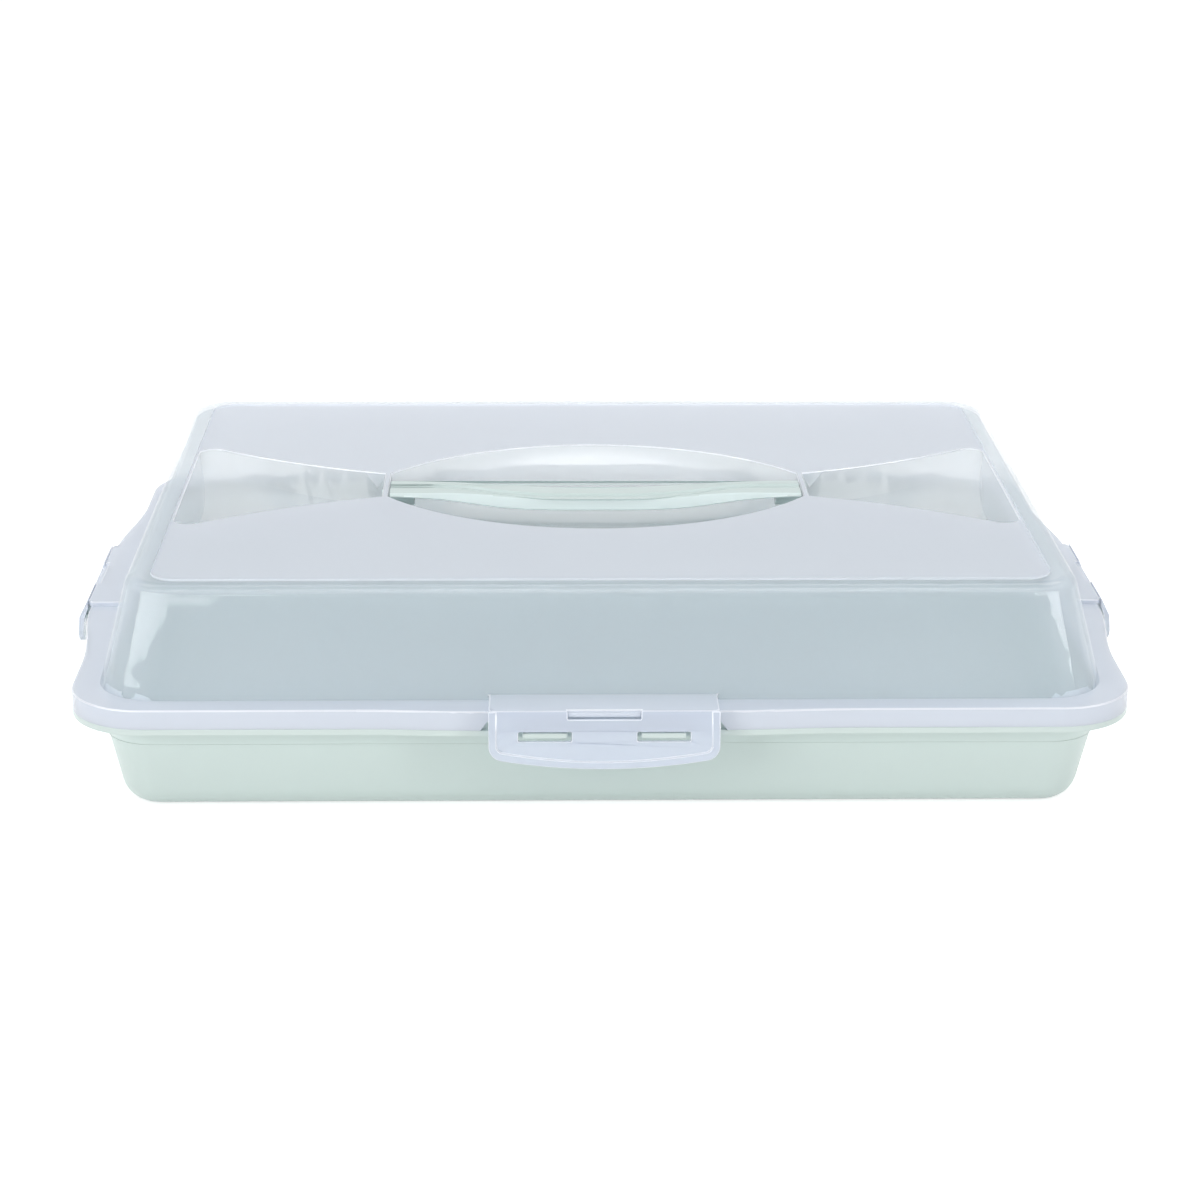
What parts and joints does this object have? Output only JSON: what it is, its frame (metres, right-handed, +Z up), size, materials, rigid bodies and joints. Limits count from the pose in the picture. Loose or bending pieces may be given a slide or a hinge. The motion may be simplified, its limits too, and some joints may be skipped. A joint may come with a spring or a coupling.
{
  "type": "food storage container",
  "caption": "Shallow rectangular food carrier: a drafted tray, a translucent domed lid held by snap latches, and a folding handle lying in a recess of the lid.",
  "frame": {"origin": "centre of the footprint, on the surface that the tray stands on", "axes": "+Z up, X along the long side, the front faces -Y"},
  "size_m": [0.4832, 0.3822, 0.101],
  "materials": {
    "mint_plastic": "smooth opaque polypropylene",
    "clear_plastic": "translucent frosted polypropylene"
  },
  "bodies": {
    "tray": {"tray": "mint_plastic"},
    "lid": {"lid": "clear_plastic"},
    "handle": {"handle": "mint_plastic"},
    "latch_front": {"latch_front": "clear_plastic"},
    "latch_right": {"latch_right": "clear_plastic"},
    "latch_back": {"latch_back": "clear_plastic"},
    "latch_left": {"latch_left": "clear_plastic"}
  },
  "joints": [
    {"name": "lid_lift", "type": "slide", "parent": "tray", "child": "lid", "axis": [0, 0, 1], "range_m": [0, 0.15]},
    {"name": "handle_fold", "type": "hinge", "parent": "lid", "child": "handle", "pos_m": [0, 0, 0.095], "axis": [-1, 0, 0], "range_deg": [0, 120]},
    {"name": "latch_front_flip", "type": "hinge", "parent": "lid", "child": "latch_front", "pos_m": [0, -0.18595, 0.0562], "axis": [-1, 0, 0], "range_deg": [0, 120]},
    {"name": "latch_right_flip", "type": "hinge", "parent": "lid", "child": "latch_right", "pos_m": [0.23645, 0, 0.0562], "axis": [0, -1, 0], "range_deg": [0, 120]},
    {"name": "latch_back_flip", "type": "hinge", "parent": "lid", "child": "latch_back", "pos_m": [0, 0.18595, 0.0562], "axis": [1, 0, 0], "range_deg": [0, 120]},
    {"name": "latch_left_flip", "type": "hinge", "parent": "lid", "child": "latch_left", "pos_m": [-0.23645, 0, 0.0562], "axis": [0, 1, 0], "range_deg": [0, 120]}
  ]
}
